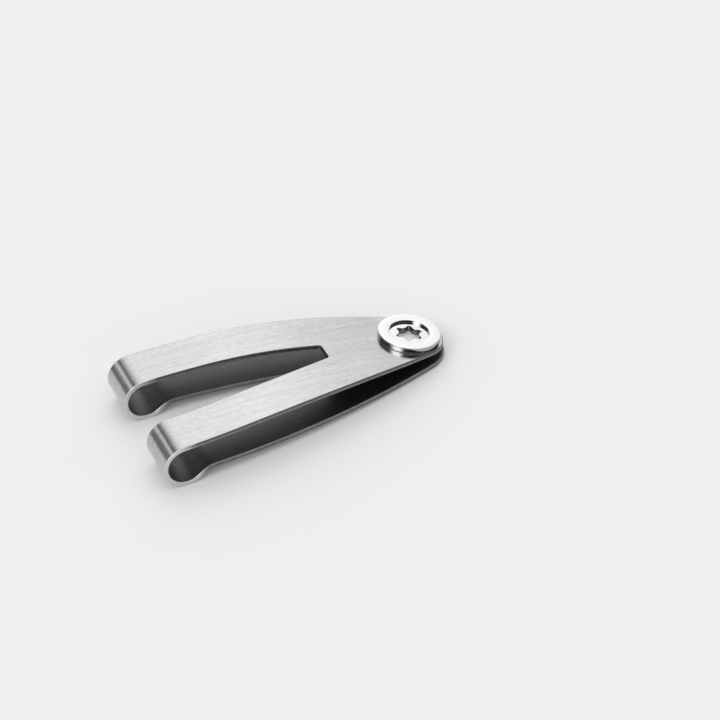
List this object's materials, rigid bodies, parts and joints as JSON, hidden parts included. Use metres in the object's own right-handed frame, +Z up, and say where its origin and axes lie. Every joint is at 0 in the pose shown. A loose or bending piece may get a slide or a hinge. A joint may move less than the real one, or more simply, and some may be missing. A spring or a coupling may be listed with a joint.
{
  "type": "money clip",
  "caption": "Double-pronged spring money clip: folded steel strip with coiled loops, bowed upper jaw, flat lower jaw and a polished screwed collar at the tip.",
  "frame": {"origin": "middle of the clip's length and width, on the surface that it lies on", "axes": "+X from the spring loops to the tip, +Y across the prongs, +Z up from the lower jaw to the upper jaw"},
  "size_m": [0.052, 0.0258, 0.0073],
  "materials": {
    "spring_sheet": "satin, brushed lengthwise",
    "collar": "mirror polish",
    "screw": "polished dome, dark socket walls",
    "foot": "satin"
  },
  "bodies": {
    "lower_body": {"lower_jaw": "spring_sheet", "left_spring_loop": "spring_sheet", "right_spring_loop": "spring_sheet"},
    "upper_body": {"upper_jaw": "spring_sheet", "polished_collar": "collar", "socket_screw": "screw", "pressure_foot": "foot"}
  },
  "joints": [
    {"name": "jaw_open", "type": "hinge", "parent": "lower_body", "child": "upper_body", "pos_m": [-0.02237, 0, 0.00365], "axis": [0, -1, 0], "range_deg": [0, 8], "stiffness_Nm_per_rad": 2, "springref_deg": -1.15, "deforming": ["left_spring_loop", "right_spring_loop"]}
  ]
}
